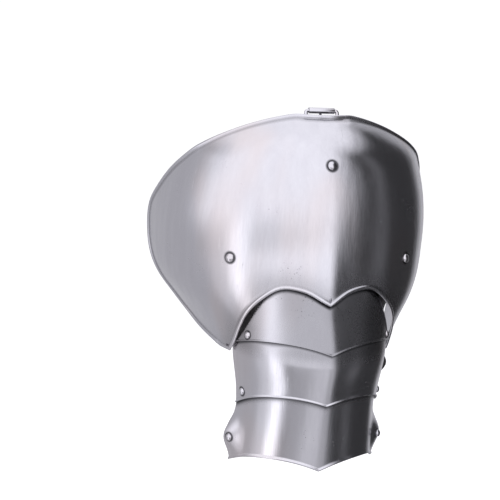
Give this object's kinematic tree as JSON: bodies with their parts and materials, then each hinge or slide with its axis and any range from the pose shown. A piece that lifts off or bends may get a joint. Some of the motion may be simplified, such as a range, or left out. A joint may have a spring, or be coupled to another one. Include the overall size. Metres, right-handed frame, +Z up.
{
  "type": "pauldron",
  "caption": "Satin steel shoulder defence with a domed cop, overlapping arm lames on black leathers and a short buckled collar strap.",
  "frame": {"origin": "centre of the top rivet at the shoulder plate's outer face, where the collar strap carries the piece", "axes": "+Z up as worn, +X from the wearer's front to the back, -Y the outer side of the arm"},
  "size_m": [0.2736, 0.193, 0.3346],
  "materials": {
    "cop_steel": "satin, brushed from top to bottom",
    "lame_steel": "satin, brushed from top to bottom",
    "rivet_steel": "half polished",
    "buckle_steel": "polished",
    "hanging_leather": "black, satin",
    "collar_leather": "black, satin"
  },
  "bodies": {
    "pauldron": {"back_cop_rivet": "rivet_steel", "back_hanging_leather": "hanging_leather", "back_leather_stud": "rivet_steel", "back_lower_lame_rivet": "rivet_steel", "back_middle_lame_rivet": "rivet_steel", "back_upper_lame_rivet": "rivet_steel", "collar_strap": "collar_leather", "front_cop_rivet": "rivet_steel", "front_hanging_leather": "hanging_leather", "front_leather_stud": "rivet_steel", "front_lower_lame_rivet": "rivet_steel", "front_middle_lame_rivet": "rivet_steel", "front_upper_lame_rivet": "rivet_steel", "lower_lame": "lame_steel", "middle_lame": "lame_steel", "shoulder_cop": "cop_steel", "top_rivet": "rivet_steel", "upper_lame": "lame_steel"},
    "buckle": {"buckle_frame": "buckle_steel", "buckle_tongue": "buckle_steel"},
    "roller": {"buckle_roller": "buckle_steel"}
  },
  "joints": [
    {"name": "buckle_swing", "type": "hinge", "parent": "pauldron", "child": "buckle", "pos_m": [0, 0.03944, 0.0261], "axis": [1, 0, 0], "range_deg": [-45, 0]},
    {"name": "roller_spin", "type": "hinge", "parent": "buckle", "child": "roller", "pos_m": [0, 0.04616, 0.04118], "axis": [1, 0, 0], "continuous": true}
  ]
}
